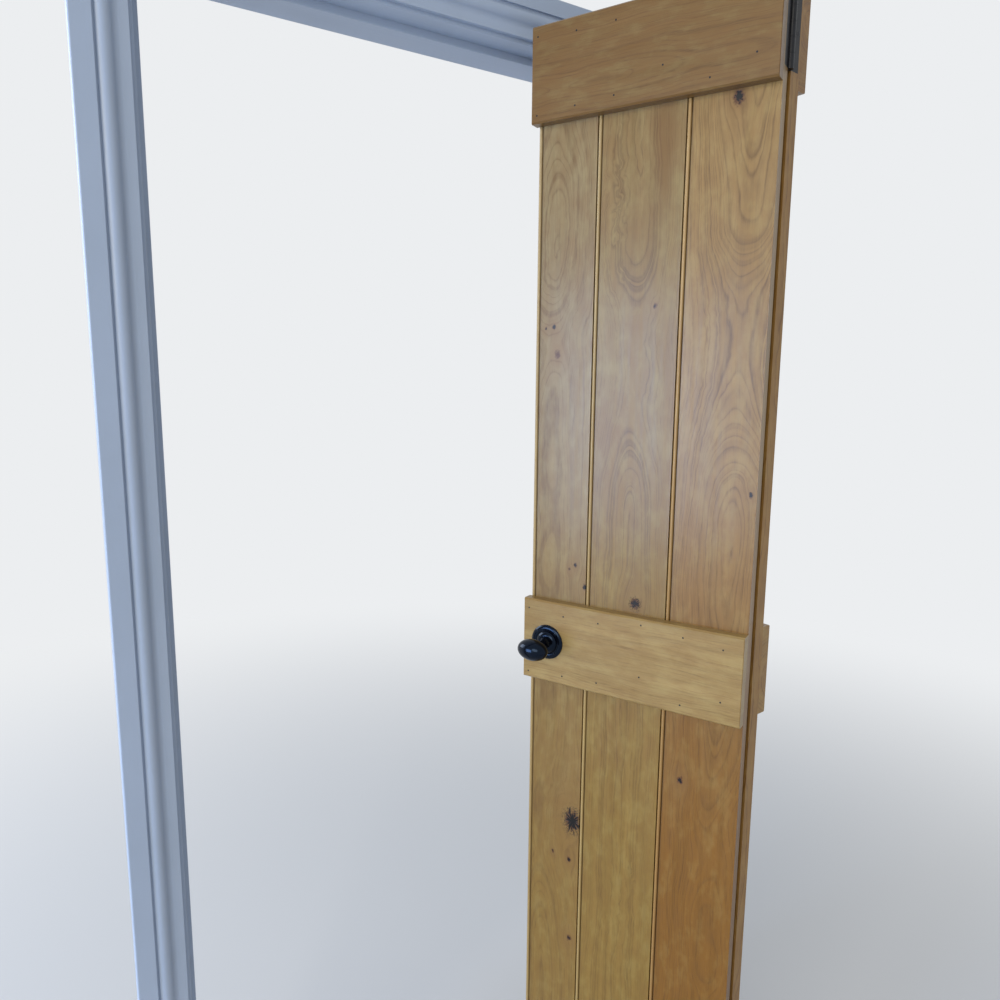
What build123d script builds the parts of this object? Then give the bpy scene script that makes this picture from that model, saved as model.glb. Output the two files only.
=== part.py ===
from build123d import *
import os
from math import atan, cos, pi, radians, sin, sqrt, tan

os.makedirs("parts", exist_ok=True)

# A ledged and boarded cottage door cut into two leaves that fold together, in its lining.
# Millimetres. X runs across the doorway from the latch jamb to the hinge jamb, Y runs from the
# room to the hall, Z is up. The origin is the middle of the latch jamb's foot, on the floor.
# Every piece of a leaf is drawn with the door shut, then turned with its leaf to where it rests.

# Doorway lining, cut from one rebated section
lining_width = 102.0
stop_thickness = 32.0
rebate_depth = 12.0
rebate_width = 42.0
housing_depth = 8.0
tongue_thickness = 12.0
lining_arris = 1.0

# Leaves
leaf_width = 381.0
leaf_height = 1981.0
floor_gap = 10.0
edge_gap = 3.0
latch_gap = 5.0
board_thickness = 21.0
ledge_thickness = 19.0
ledge_height = 143.0
ledge_chamfer = 2.5
ledge_end_ease = 1.0
middle_ledge_centre = 1001.5

# Matchboards, counted from the edge of the leaf that is not folded
outer_board_face = 105.5
middle_board_face = 141.0
tongue_left_on = 3.5
board_gap = 0.8
board_tongue_length = 7.0
board_tongue_thickness = 6.0
board_tongue_from_face = 11.55
groove_clearance = 0.3
bead_radius = 3.3
quirk_width = 1.6
back_chamfer = 1.5

# Architrave on the room side
architrave_width = 69.0
architrave_thickness = 18.0
architrave_set_back = 6.0
fillet_width = 11.0
fillet_thickness = 9.0
cove_width = 10.0
cove_rise = 4.5
cove_belly = (0.62, 0.22)
torus_width = 19.0
architrave_quirk = 2.5
outer_round = 2.0

# Butt hinges
hinge_length = 100.0
hinge_knuckle_radius = 5.0
hinge_stand_off = 5.5
hinge_plate = 2.0
hinge_pin_radius = 2.5
hinge_pin_clearance = 0.05
hinge_knuckles = 5
knuckle_gap = 0.3
jamb_flap_reach = 32.0
fold_flap_reach = 23.0

# Countersunk wood screws
screw_radius = 1.7
screw_head_radius = 3.4
screw_clearance = 0.05

# Knobs and roses
knob_backset = 47.0
knob_half_length = 27.7
knob_half_height = 18.2
knob_half_depth = 17.5
knob_stand_off = 49.0
neck_radius = 9.5
waist_radius = 7.8
neck_spread = 3.5
neck_straight = 10.0
neck_sunk_in_knob = 4.5
rose_radius = 30.0
rose_height = 8.0
rose_crown_width = 1.8
rose_ring_radius = 19.0
rose_ring_height = 4.0
rose_rim_height = 2.6
rose_edge_height = 1.2
rose_swell = 1.2
dome_belly = (0.62, 0.8)
rose_clearance = 0.1
spindle_across = 7.6
spindle_depth = 31.0
spindle_clearance = 0.05
spindle_bore = 8.0
grub_radius = 2.0
grub_height = 15.0

# Bolt worked by a pinion on the spindle
gear_module = 1.25
pinion_teeth = 12
pressure_angle = 20.0
pinion_addendum = 1.1
rack_addendum = 0.8
tooth_root_clearance = 0.3
backlash = 0.3
gear_width = 6.0
hub_radius = 6.1
hub_clearance = 0.1
flank_steps = 2
rack_teeth_before = 2.5
bolt_width = 10.0
bolt_height = 14.0
bolt_head_length = 22.0
bolt_tail_end = 64.0
bolt_clearance = 0.2
bolt_corner = 1.0
case_depth = 67.0
case_thickness = 14.0
case_below = 34.0
case_above = 20.0
case_wall = 1.5
case_cover = 1.2
faceplate_thickness = 3.0
faceplate_width = 22.0
faceplate_height = 74.0
faceplate_screw_pitch = 64.0
edge_screw_length = 16.0
keep_thickness = 1.6
keep_width = 25.0
keep_height = 66.0
keep_screw_pitch = 50.0
keep_clearance = 0.7
keep_pocket = 12.0
keep_pocket_margin = 0.5
plate_corner = 3.0

# How far a cut runs past the face that it leaves
overrun = 1.0

# How far the door stands open at rest
open_angle = 97.0
leaf_angle = 18.0

# Places worked out from the sizes above
leaf_thickness = board_thickness + ledge_thickness
room_edge = -lining_width / 2
hall_edge = lining_width / 2
stop_face = room_edge + rebate_width
ledge_face = room_edge
board_face = ledge_face + ledge_thickness
plain_face = board_face + board_thickness
leaf_middle = (ledge_face + plain_face) / 2
tongue_line = board_face + board_tongue_from_face
latch_back = -stop_thickness / 2
latch_stop = stop_thickness / 2
latch_rebate = latch_stop - rebate_depth
opening_width = 2 * leaf_width + 2 * edge_gap + latch_gap
hinge_rebate = latch_rebate + opening_width
hinge_stop = hinge_rebate - rebate_depth
hinge_back = hinge_stop + stop_thickness
leaf_foot = floor_gap
leaf_top = floor_gap + leaf_height
head_rebate = leaf_top + edge_gap
head_stop = head_rebate - rebate_depth
head_top = head_stop + stop_thickness
housing_top = head_rebate + housing_depth
free_edge = latch_rebate + latch_gap
leading_fold_edge = free_edge + leaf_width
fold_x = leading_fold_edge + edge_gap / 2
fold_y = plain_face + hinge_stand_off
jamb_x = hinge_rebate - edge_gap / 2
jamb_y = ledge_face - hinge_stand_off
fold_angle = 180.0 - leaf_angle
ledge_centres = {
    "top": leaf_top - ledge_height / 2,
    "middle": middle_ledge_centre,
    "bottom": leaf_foot + ledge_height / 2,
}
knob_x = free_edge + knob_backset
knob_z = middle_ledge_centre
pitch_radius = gear_module * pinion_teeth / 2
bolt_top = knob_z - pitch_radius + rack_addendum
bolt_bottom = bolt_top - bolt_height
case_front = free_edge + faceplate_thickness
case_foot = knob_z - case_below
case_head = knob_z + case_above
case_middle = (case_foot + case_head) / 2


def block(x0, x1, y0, y1, z0, z1):
    """A rectangular block between two corners."""
    return Pos(x0, y0, z0) * Box(x1 - x0, y1 - y0, z1 - z0, align=(Align.MIN, Align.MIN, Align.MIN))


def upright(outline, z0, z1):
    """A prism that stands on z0 and rises to z1, from points across X and Y."""
    return Pos(0, 0, z0) * extrude(make_face(Polyline(*outline, close=True)), amount=z1 - z0)


def lying(outline, x0, x1):
    """A prism that runs from x0 to x1, from points across Y and Z."""
    face = Plane.YZ * make_face(Polyline(*outline, close=True))
    return Pos(x0, 0, 0) * extrude(face, amount=x1 - x0)


def rod_z(x, y, z0, z1, radius):
    """A round rod along Z."""
    return Pos(x, y, z0) * Cylinder(radius, z1 - z0, align=(Align.CENTER, Align.CENTER, Align.MIN))


def rod_y(x, z, y0, y1, radius):
    """A round rod along Y."""
    rod = Cylinder(radius, y1 - y0, align=(Align.CENTER, Align.CENTER, Align.MIN))
    return Pos(x, y0, z) * Rot(-90, 0, 0) * rod


def turned_about(x, y, angle):
    """The place of something that is turned about an upright axis."""
    return Pos(x, y, 0) * Rot(0, 0, angle) * Pos(-x, -y, 0)


def across_fold(piece):
    """The mirror image of a piece on the other side of the fold."""
    return mirror(piece, about=Plane.YZ.offset(fold_x))


hung_place = turned_about(jamb_x, jamb_y, open_angle)
leading_place = hung_place * turned_about(fold_x, fold_y, -fold_angle)
still = Pos(0, 0, 0)
pieces = {}


def keep(name, piece, place=still):
    """Puts a piece in the list under its name, at its resting place."""
    pieces[name] = place * piece


# Wood screw: a countersunk head and a plain shank, driven along -Z from the origin
def wood_screw(length, grow=0.0):
    head_height = screw_head_radius - screw_radius
    shank = rod_z(0, 0, -length, 0, screw_radius + grow)
    head = Pos(0, 0, -head_height) * Cone(
        screw_radius + grow, screw_head_radius + grow, head_height,
        align=(Align.CENTER, Align.CENTER, Align.MIN),
    )
    return shank + head


def screw_set(places, length, grow=0.0):
    """The same screw at several places, each given as a location."""
    solids = []
    for place in places:
        solids += (place * wood_screw(length, grow)).solids()
    return solids


# Lining
def jamb_section():
    """The latch jamb's rebated section, with its two arrises eased."""
    return (
        (latch_back, room_edge),
        (latch_rebate - lining_arris, room_edge),
        (latch_rebate, room_edge + lining_arris),
        (latch_rebate, stop_face),
        (latch_stop - lining_arris, stop_face),
        (latch_stop, stop_face + lining_arris),
        (latch_stop, hall_edge - lining_arris),
        (latch_stop - lining_arris, hall_edge),
        (latch_back, hall_edge),
    )


def plain_latch_jamb():
    """A jamb that is scribed under the head and housed in it by a tongue."""
    leg = upright(jamb_section(), 0, head_stop)
    shoulder = block(latch_back, latch_rebate, room_edge, stop_face, head_stop, head_rebate)
    tongue = block(latch_back, latch_back + tongue_thickness, room_edge, hall_edge, head_stop, housing_top)
    return leg + shoulder + tongue


def head_lining():
    """The head, rebated like the jambs and cut away at both ends for their tongues."""
    outline = (
        (room_edge, head_top),
        (room_edge, head_rebate + lining_arris),
        (room_edge + lining_arris, head_rebate),
        (stop_face, head_rebate),
        (stop_face, head_stop + lining_arris),
        (stop_face + lining_arris, head_stop),
        (hall_edge - lining_arris, head_stop),
        (hall_edge, head_stop + lining_arris),
        (hall_edge, head_top),
    )
    head = lying(outline, latch_back, hinge_back)
    for low, high in (
        (latch_back, latch_back + tongue_thickness),
        (hinge_back - tongue_thickness, hinge_back),
    ):
        head -= block(low, high, room_edge, hall_edge, head_stop, housing_top)
    return head


def jamb_mirrored(piece):
    """The same piece on the hinge side of the doorway."""
    return mirror(piece, about=Plane.YZ.offset((latch_back + hinge_back) / 2))


# Architrave: a moulded board mitred at the corners of the doorway
def architrave_bar(length):
    """The moulded section, sight edge at 0, carried up Z."""
    torus_start = fillet_width + cove_width
    torus_end = torus_start + torus_width
    torus_middle = (torus_start + torus_end) / 2
    low = fillet_thickness
    rise = low + cove_rise
    flat_start = torus_end + architrave_quirk
    edge = architrave_width - outer_round
    top = architrave_thickness - outer_round
    lines = [
        Line((0, 0), (0, low)),
        Line((0, low), (fillet_width, low)),
        ThreePointArc(
            (fillet_width, low),
            (fillet_width + cove_width * cove_belly[0], low + cove_rise * cove_belly[1]),
            (torus_start, rise),
        ),
        ThreePointArc((torus_start, rise), (torus_middle, architrave_thickness), (torus_end, rise)),
        Line((torus_end, rise), (flat_start, rise)),
        Line((flat_start, rise), (flat_start, architrave_thickness)),
        Line((flat_start, architrave_thickness), (edge, architrave_thickness)),
        RadiusArc((edge, architrave_thickness), (architrave_width, top), outer_round),
        Line((architrave_width, top), (architrave_width, 0)),
        Line((architrave_width, 0), (0, 0)),
    ]
    return extrude(make_face(lines), amount=length)


def architrave_mitred(outline):
    """A board cut to an outline across X and Z, as thick as the architrave."""
    face = Plane.XZ * make_face(Polyline(*outline, close=True))
    return Pos(0, room_edge + overrun, 0) * extrude(face, amount=architrave_thickness + 2 * overrun)


sight_left = latch_rebate - architrave_set_back
sight_right = hinge_rebate + architrave_set_back
sight_top = head_rebate + architrave_set_back
outer_left = sight_left - architrave_width
outer_right = sight_right + architrave_width
outer_top = sight_top + architrave_width


def side_architrave():
    """The architrave beside the latch jamb."""
    bar = architrave_bar(outer_top)
    bar = Pos(sight_left, room_edge, 0) * Rot(0, 0, 180) * bar
    leg = ((outer_left, 0), (sight_left, 0), (sight_left, sight_top), (outer_left, outer_top))
    return bar & architrave_mitred(leg)


def head_architrave():
    """The architrave over the head."""
    bar = architrave_bar(outer_right - outer_left)
    place = Plane(origin=(outer_left, room_edge, sight_top), x_dir=(0, 0, 1), z_dir=(1, 0, 0))
    span = (
        (outer_left, outer_top), (sight_left, sight_top), (sight_right, sight_top), (outer_right, outer_top)
    )
    return place * bar & architrave_mitred(span)


# Matchboards
def board_ends():
    """Where each board's face starts and ends, counted from the leaf's outer edge."""
    first = tongue_left_on
    second = first + outer_board_face
    third = second + middle_board_face
    return ((first, second - board_gap), (second, third - board_gap), (third, leaf_width))


def board_outline(start, end, tongue_length, grooved):
    """A board's section: bead and quirk on the ledge side at its tongued edge, groove at the other."""
    tongue_near = tongue_line - board_tongue_thickness / 2
    tongue_far = tongue_line + board_tongue_thickness / 2
    bead_end = start + 2 * bead_radius
    bead_root = board_face + bead_radius
    lines = [
        Line((start - tongue_length, tongue_near), (start, tongue_near)),
        Line((start, tongue_near), (start, bead_root)),
        ThreePointArc((start, bead_root), (start + bead_radius, board_face), (bead_end, bead_root)),
        Line((bead_end, bead_root), (bead_end + quirk_width, bead_root)),
        Line((bead_end + quirk_width, bead_root), (bead_end + quirk_width, board_face)),
        Line((bead_end + quirk_width, board_face), (end, board_face)),
    ]
    if grooved:
        groove_near = tongue_near - groove_clearance
        groove_far = tongue_far + groove_clearance
        groove_floor = end + board_gap - board_tongue_length - groove_clearance
        lines += Polyline(
            (end, board_face), (end, groove_near), (groove_floor, groove_near),
            (groove_floor, groove_far), (end, groove_far), (end, plain_face - back_chamfer),
            (end - back_chamfer, plain_face), (start + back_chamfer, plain_face),
        ).edges()
    else:
        lines += Polyline(
            (end, board_face), (end, plain_face), (start + back_chamfer, plain_face)
        ).edges()
    lines += Polyline(
        (start + back_chamfer, plain_face), (start, plain_face - back_chamfer), (start, tongue_far),
        (start - tongue_length, tongue_far), (start - tongue_length, tongue_near),
    ).edges()
    return lines


def leaf_boards():
    """The three boards of the leaf that carries the knobs."""
    boards = []
    for index, (start, end) in enumerate(board_ends()):
        tongue_length = tongue_left_on if index == 0 else board_tongue_length
        grooved = index < 2
        section = make_face(board_outline(free_edge + start, free_edge + end, tongue_length, grooved))
        boards.append(Pos(0, 0, leaf_foot) * extrude(section, amount=leaf_height))
    return boards


def leaf_ledge(centre):
    """A ledge across the boards, its two long front arrises chamfered and its ends eased."""
    foot = centre - ledge_height / 2
    top = centre + ledge_height / 2
    outline = (
        (board_face, foot),
        (ledge_face + ledge_chamfer, foot),
        (ledge_face, foot + ledge_chamfer),
        (ledge_face, top - ledge_chamfer),
        (ledge_face + ledge_chamfer, top),
        (board_face, top),
    )
    ledge = lying(outline, free_edge, leading_fold_edge)
    front = ledge.faces().sort_by(Axis.Y)[0]
    ends = front.edges().filter_by(Axis.Z)
    return chamfer(ends, ledge_end_ease)


# Butt hinges
def knuckle_spans(foot, which):
    """The heights of one flap's knuckles: 0 takes the odd ones, with both ends, and 1 the even ones."""
    pitch = hinge_length / hinge_knuckles
    spans = []
    for index in range(hinge_knuckles):
        if index % 2 == which:
            low = foot + index * pitch + (knuckle_gap / 2 if index else 0)
            last = index == hinge_knuckles - 1
            high = foot + (index + 1) * pitch - (0 if last else knuckle_gap / 2)
            spans.append((low, high))
    return spans


def hinge_flap(x, y, foot, side, reach, towards, which):
    """One flap: its plate lies on the side given (-1 or 1) of the pin and reaches along towards*Y."""
    near = x + side * edge_gap / 2
    far = near + side * hinge_plate
    end = y + towards * reach
    room = hinge_knuckle_radius + knuckle_gap
    flap = block(min(near, far), max(near, far), min(y, end), max(y, end), foot, foot + hinge_length)
    for low, high in knuckle_spans(foot, 1 - which):
        notch_low = low - knuckle_gap
        notch_high = high + knuckle_gap
        flap -= block(x - room, x + room, y - room, y + room, notch_low, notch_high)
    for low, high in knuckle_spans(foot, which):
        flap += rod_z(x, y, low, high, hinge_knuckle_radius)
    return flap - rod_z(x, y, foot, foot + hinge_length, hinge_pin_radius + hinge_pin_clearance)


def hinge_pin(x, y, foot):
    """The pin, cut flush with the end knuckles."""
    return rod_z(x, y, foot, foot + hinge_length, hinge_pin_radius)


hinge_feet = {
    name: ledge_centres[name] - hinge_length / 2 for name in ("top", "bottom")
}
jamb_flap_end = jamb_y + jamb_flap_reach
fold_flap_end = fold_y - fold_flap_reach


def flap_recesses(x, side, y0, y1):
    """What is cut from an edge so that the flaps lie flush in it."""
    near = x + side * edge_gap / 2
    far = near + side * hinge_plate
    left, right = min(near, far), max(near, far)
    front, back = min(y0, y1), max(y0, y1)
    return [block(left, right, front, back, foot, foot + hinge_length) for foot in hinge_feet.values()]


# Bolt, rack and pinion
def involute_tooth_angle(radius, base_radius):
    """The turn of an involute flank at a radius, in radians."""
    lean = sqrt((radius / base_radius) ** 2 - 1)
    return lean - atan(lean)


def pinion():
    """An involute pinion with a hub at each side and a square hole."""
    base_radius = pitch_radius * cos(radians(pressure_angle))
    tip_radius = pitch_radius + pinion_addendum
    root_radius = pitch_radius - rack_addendum - tooth_root_clearance
    half_tooth = pi / (2 * pinion_teeth) + involute_tooth_angle(pitch_radius, base_radius)
    flank = []
    for index in range(flank_steps + 1):
        radius = base_radius + (tip_radius - base_radius) * index / flank_steps
        angle = half_tooth - involute_tooth_angle(radius, base_radius)
        flank.append((radius, angle))
    outline = []
    for tooth in range(pinion_teeth):
        middle = -pi / 2 + tooth * 2 * pi / pinion_teeth
        left = [(root_radius, half_tooth)] + flank
        for radius, angle in left:
            outline.append((radius * cos(middle - angle), radius * sin(middle - angle)))
        for radius, angle in reversed(left):
            outline.append((radius * cos(middle + angle), radius * sin(middle + angle)))
    wheel = extrude(make_face(Polyline(*outline, close=True)), amount=gear_width)
    wheel = Pos(0, 0, -gear_width / 2) * wheel
    wheel += rod_z(0, 0, -case_thickness / 2, case_thickness / 2, hub_radius)
    hole = spindle_across + 2 * spindle_clearance
    wheel -= Box(hole, hole, case_thickness + 2 * overrun)
    return Pos(knob_x, leaf_middle, knob_z) * Rot(90, 0, 0) * wheel


def bolt():
    """The bolt, flush with its faceplate: a square head and a tail with rack teeth on top."""
    tail_start = free_edge + bolt_head_length
    tail_end = free_edge + bolt_tail_end
    half = bolt_width / 2
    head = block(free_edge, tail_start, leaf_middle - half, leaf_middle + half, bolt_bottom, bolt_top)
    nose = head.faces().sort_by(Axis.X)[0]
    head = chamfer(nose.edges(), bolt_corner)
    pitch = pi * gear_module
    pitch_line = knob_z - pitch_radius
    tooth_root = pitch_line - pinion_addendum - tooth_root_clearance
    slope = tan(radians(pressure_angle))
    tooth_half = pitch / 4 - backlash / 2
    foot_half = tooth_half + (pitch_line - tooth_root) * slope
    tip_half = tooth_half - rack_addendum * slope
    tail_bottom = bolt_bottom + bolt_corner
    half_gear = gear_width / 2
    tail = block(
        tail_start, tail_end, leaf_middle - half_gear, leaf_middle + half_gear, tail_bottom, tooth_root
    )
    centre = knob_x - rack_teeth_before * pitch
    while centre + foot_half < tail_end:
        outline = (
            (centre - foot_half, tooth_root), (centre - tip_half, bolt_top),
            (centre + tip_half, bolt_top), (centre + foot_half, tooth_root),
        )
        face = Plane.XZ * make_face(Polyline(*outline, close=True))
        tail += Pos(0, leaf_middle + half_gear, 0) * extrude(face, amount=gear_width)
        centre += pitch
    return head + tail


def bolt_passage(x0, x1, clearance):
    """The square way that the bolt's head slides in."""
    half = bolt_width / 2 + clearance
    return block(
        x0, x1, leaf_middle - half, leaf_middle + half, bolt_bottom - clearance, bolt_top + clearance
    )


case_near = leaf_middle - case_thickness / 2
case_far = leaf_middle + case_thickness / 2
case_end = case_front + case_depth


def bolt_case():
    """The case, open towards its cover, with a rail under the bolt's tail."""
    case = block(case_front, case_end, case_near, case_far - case_cover, case_foot, case_head)
    case -= block(
        case_front + case_wall, case_end - case_wall, case_near + case_wall, case_far,
        case_foot + case_wall, case_head - case_wall,
    )
    rail_top = bolt_bottom + bolt_corner - bolt_clearance
    case += block(
        knob_x - pitch_radius, case_end - case_wall, case_near + case_wall,
        leaf_middle + gear_width / 2, case_foot + case_wall, rail_top,
    )
    case -= bolt_passage(case_front - overrun, case_front + case_wall + overrun, bolt_clearance)
    return case - rod_y(knob_x, knob_z, case_near - overrun, case_far, hub_radius + hub_clearance)


def bolt_case_cover():
    """The flat cover of the case."""
    cover = block(case_front, case_end, case_far - case_cover, case_far, case_foot, case_head)
    return cover - rod_y(knob_x, knob_z, case_near, case_far + overrun, hub_radius + hub_clearance)


def edge_plate(x0, x1, width, height, corner):
    """A plate in the leaf's edge or the jamb, with its four corners rounded."""
    half = width / 2
    low = case_middle - height / 2
    high = case_middle + height / 2
    plate = block(x0, x1, leaf_middle - half, leaf_middle + half, low, high)
    return fillet(plate.edges().filter_by(Axis.X), corner)


def plate_screws_at(x, pitch, turn):
    """Two screw places on an edge plate, driven away from the gap at the free edge."""
    return [Pos(x, leaf_middle, case_middle + half * pitch / 2) * Rot(0, turn, 0) for half in (-1, 1)]


faceplate_screw_places = plate_screws_at(free_edge, faceplate_screw_pitch, -90)
keep_screw_places = plate_screws_at(latch_rebate, keep_screw_pitch, 90)


# Knobs and roses
def rose():
    """A ringed rose lying on Z = 0 around the origin."""
    hole = neck_radius + rose_clearance
    crown = hole + rose_crown_width
    belly = (crown + (rose_ring_radius - crown) * dome_belly[0], rose_height * dome_belly[1])
    rim_middle = (rose_ring_radius + rose_radius) / 2
    outline = [
        Line((hole, 0), (hole, rose_height)),
        Line((hole, rose_height), (crown, rose_height)),
        ThreePointArc((crown, rose_height), belly, (rose_ring_radius, rose_ring_height)),
        Line((rose_ring_radius, rose_ring_height), (rose_ring_radius, rose_rim_height)),
        ThreePointArc(
            (rose_ring_radius, rose_rim_height), (rim_middle, rose_rim_height + rose_swell),
            (rose_radius, rose_edge_height),
        ),
        Line((rose_radius, rose_edge_height), (rose_radius, 0)),
        Line((rose_radius, 0), (hole, 0)),
    ]
    return Rot(90, 0, 0) * revolve(make_face(outline), axis=Axis.Y)


def knob():
    """An oval knob on a waisted neck, its neck's foot at Z = 0 and its long way along X."""
    oval = scale(Sphere(1), by=(knob_half_length, knob_half_height, knob_half_depth))
    neck_top = knob_stand_off - knob_half_depth + neck_sunk_in_knob
    neck = revolve(
        make_face([
            Line((0, 0), (neck_radius, 0)),
            Line((neck_radius, 0), (neck_radius, neck_straight)),
            ThreePointArc(
                (neck_radius, neck_straight), (waist_radius, (neck_straight + neck_top) / 2),
                (neck_radius + neck_spread, neck_top),
            ),
            Line((neck_radius + neck_spread, neck_top), (0, neck_top)),
            Line((0, neck_top), (0, 0)),
        ]),
        axis=Axis.Y,
    )
    hole = spindle_across + 2 * spindle_clearance
    neck = Rot(90, 0, 0) * neck
    neck -= block(-hole / 2, hole / 2, -hole / 2, hole / 2, 0, spindle_depth + spindle_clearance)
    neck -= Pos(0, 0, grub_height) * Rot(90, 0, 0) * Cylinder(
        grub_radius + screw_clearance, neck_radius, align=(Align.CENTER, Align.CENTER, Align.MIN)
    )
    return neck + Pos(0, 0, knob_stand_off) * oval


def grub():
    """The grub screw that bears on the spindle from below the neck."""
    length = waist_radius - spindle_across / 2
    screw = Cylinder(grub_radius, length, align=(Align.CENTER, Align.CENTER, Align.MIN))
    return Pos(0, -spindle_across / 2, grub_height) * Rot(90, 0, 0) * screw


room_side = Plane(origin=(knob_x, ledge_face, knob_z), x_dir=(1, 0, 0), z_dir=(0, -1, 0))
hall_side = Plane(origin=(knob_x, plain_face, knob_z), x_dir=(-1, 0, 0), z_dir=(0, 1, 0))


def spindle():
    """The square spindle through both knobs."""
    half = spindle_across / 2
    return block(
        knob_x - half, knob_x + half, ledge_face - spindle_depth, plain_face + spindle_depth,
        knob_z - half, knob_z + half,
    )


# Lining, architraves and keep
latch_jamb = plain_latch_jamb()
hinge_jamb = jamb_mirrored(latch_jamb)
for recess in flap_recesses(jamb_x, 1, room_edge, jamb_flap_end):
    hinge_jamb -= recess
keep_plate = edge_plate(latch_rebate - keep_thickness, latch_rebate, keep_width, keep_height, plate_corner)
latch_jamb -= keep_plate
latch_jamb -= bolt_passage(latch_rebate - keep_pocket, latch_rebate, keep_clearance + keep_pocket_margin)
latch_jamb -= screw_set(keep_screw_places, edge_screw_length, screw_clearance)
keep_plate -= bolt_passage(latch_rebate - keep_pocket, latch_rebate + overrun, keep_clearance)
keep_plate -= screw_set(keep_screw_places, edge_screw_length, screw_clearance)
latch_architrave = side_architrave()
keep("latch_jamb", latch_jamb)
keep("hinge_jamb", hinge_jamb)
keep("head_jamb", head_lining())
keep("latch_architrave", latch_architrave)
keep("hinge_architrave", jamb_mirrored(latch_architrave))
keep("head_architrave", head_architrave())
keep("keep_plate", keep_plate)
keep("keep_screws", Compound(children=screw_set(keep_screw_places, edge_screw_length)))

# Jamb hinges, whose frame flap has the end knuckles, and fold hinges, where the hung leaf's has them
for name, foot in hinge_feet.items():
    keep(f"jamb_hinge_{name}_frame_flap", hinge_flap(jamb_x, jamb_y, foot, 1, jamb_flap_reach, 1, 0))
    keep(f"jamb_hinge_{name}_pin", hinge_pin(jamb_x, jamb_y, foot))
    jamb_leaf_flap = hinge_flap(jamb_x, jamb_y, foot, -1, jamb_flap_reach, 1, 1)
    keep(f"jamb_hinge_{name}_leaf_flap", jamb_leaf_flap, hung_place)
    hung_flap = hinge_flap(fold_x, fold_y, foot, 1, fold_flap_reach, -1, 0)
    keep(f"fold_hinge_{name}_hung_flap", hung_flap, hung_place)
    keep(f"fold_hinge_{name}_pin", hinge_pin(fold_x, fold_y, foot), hung_place)
    leading_flap = hinge_flap(fold_x, fold_y, foot, -1, fold_flap_reach, -1, 1)
    keep(f"fold_hinge_{name}_leading_flap", leading_flap, leading_place)

# Boards and ledges of both leaves
fold_recesses = flap_recesses(fold_x, -1, plain_face, fold_flap_end)
jamb_recesses = flap_recesses(jamb_x, -1, ledge_face, jamb_flap_end)
faceplate = edge_plate(free_edge, case_front, faceplate_width, faceplate_height, plate_corner)
lock_cuts = [
    block(case_front, case_end, case_near, case_far, case_foot, case_head),
    faceplate,
    rod_y(knob_x, knob_z, ledge_face - overrun, plain_face + overrun, spindle_bore),
]
lock_cuts += screw_set(faceplate_screw_places, edge_screw_length, screw_clearance)
tongue_side = block(free_edge, free_edge + tongue_left_on, board_face, plain_face, leaf_foot, leaf_top)

for name, board in zip(("outer", "middle", "fold"), leaf_boards()):
    if name == "fold":
        board -= fold_recesses
    hung_board = across_fold(board)
    if name == "outer":
        hung_board = hung_board + across_fold(tongue_side) - jamb_recesses
        board -= lock_cuts
    keep(f"leading_{name}_board", board, leading_place)
    keep(f"hung_{name}_board", hung_board, hung_place)

for name, centre in ledge_centres.items():
    ledge = leaf_ledge(centre)
    hung_ledge = across_fold(ledge) - jamb_recesses
    if name == "middle":
        ledge -= lock_cuts
    keep(f"leading_{name}_ledge", ledge, leading_place)
    keep(f"hung_{name}_ledge", hung_ledge, hung_place)

# Bolt and its case
faceplate -= bolt_passage(free_edge - overrun, case_front + overrun, bolt_clearance)
faceplate -= screw_set(faceplate_screw_places, edge_screw_length, screw_clearance)
faceplate_screws = Compound(children=screw_set(faceplate_screw_places, edge_screw_length))
keep("bolt_case", bolt_case(), leading_place)
keep("bolt_case_cover", bolt_case_cover(), leading_place)
keep("bolt_faceplate", faceplate, leading_place)
keep("faceplate_screws", faceplate_screws, leading_place)
keep("bolt", bolt(), leading_place)
keep("bolt_pinion", pinion(), leading_place)

# Knobs, roses and spindle
knob_sides = {"room": room_side.location, "hall": hall_side.location}
for name, side in knob_sides.items():
    keep(f"{name}_rose", side * rose(), leading_place)
    keep(f"{name}_knob", side * knob(), leading_place)
keep("knob_spindle", spindle(), leading_place)
keep("grub_screws", Compound(children=[side * grub() for side in knob_sides.values()]), leading_place)

for name, piece in pieces.items():
    export_step(piece, f"parts/{name}.step")
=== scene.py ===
"""The looks of a bifold cottage door: lacquered oak leaves, painted lining and black furniture."""
import logging
import math
from dataclasses import dataclass
from enum import Enum
from typing import Any

import bpy
import numpy as np
from bpy.types import Material, NodeSocket, NodeTree, Object
from mathutils import Matrix, Vector


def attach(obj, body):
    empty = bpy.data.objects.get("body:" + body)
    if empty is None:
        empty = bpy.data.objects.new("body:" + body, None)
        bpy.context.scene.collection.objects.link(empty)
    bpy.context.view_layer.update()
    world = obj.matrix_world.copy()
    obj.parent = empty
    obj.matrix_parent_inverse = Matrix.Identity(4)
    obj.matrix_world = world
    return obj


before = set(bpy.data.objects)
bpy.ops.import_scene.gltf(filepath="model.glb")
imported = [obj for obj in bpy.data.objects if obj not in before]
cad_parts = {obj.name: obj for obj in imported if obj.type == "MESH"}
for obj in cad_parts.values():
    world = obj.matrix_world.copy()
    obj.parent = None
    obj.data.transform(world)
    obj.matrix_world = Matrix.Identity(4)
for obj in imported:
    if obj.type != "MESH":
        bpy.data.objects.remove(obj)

logger = logging.getLogger("cottage_door")
MM = 0.001

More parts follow.
